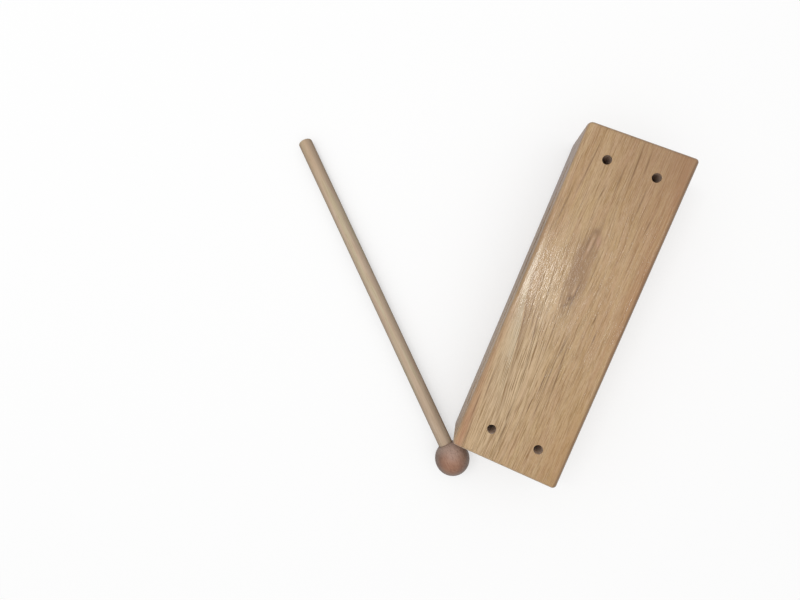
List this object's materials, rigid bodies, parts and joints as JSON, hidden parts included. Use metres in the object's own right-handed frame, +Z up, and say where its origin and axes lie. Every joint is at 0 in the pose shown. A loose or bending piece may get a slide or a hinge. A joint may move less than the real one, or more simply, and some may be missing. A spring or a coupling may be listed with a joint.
{
  "type": "wood block with mallet",
  "caption": "Rectangular hardwood wood block with a deep sawn sound slot in one long side and drilled through holes, with its loose ball-headed wooden mallet lying beside it.",
  "frame": {"origin": "middle of the block's underside, on the surface that it rests on", "axes": "+Z up out of the block's struck top face, +X along the block towards the end that the mallet's head lies past, -Y out of the slotted front wall"},
  "size_m": [0.2058, 0.2088, 0.04],
  "materials": {
    "block_wood": "satin varnish over pale, fine-pored hardwood",
    "stick_wood": "bare sanded dowel",
    "head_wood": "matte, oiled, turned hardwood"
  },
  "bodies": {
    "block": {"block": "block_wood"},
    "mallet": {"mallet_stick": "stick_wood", "mallet_head": "head_wood"}
  },
  "joints": [
    {"name": "mallet_lift", "type": "slide", "parent": "block", "child": "mallet", "axis": [0, 0, 1], "range_m": [0, 0.15]}
  ]
}
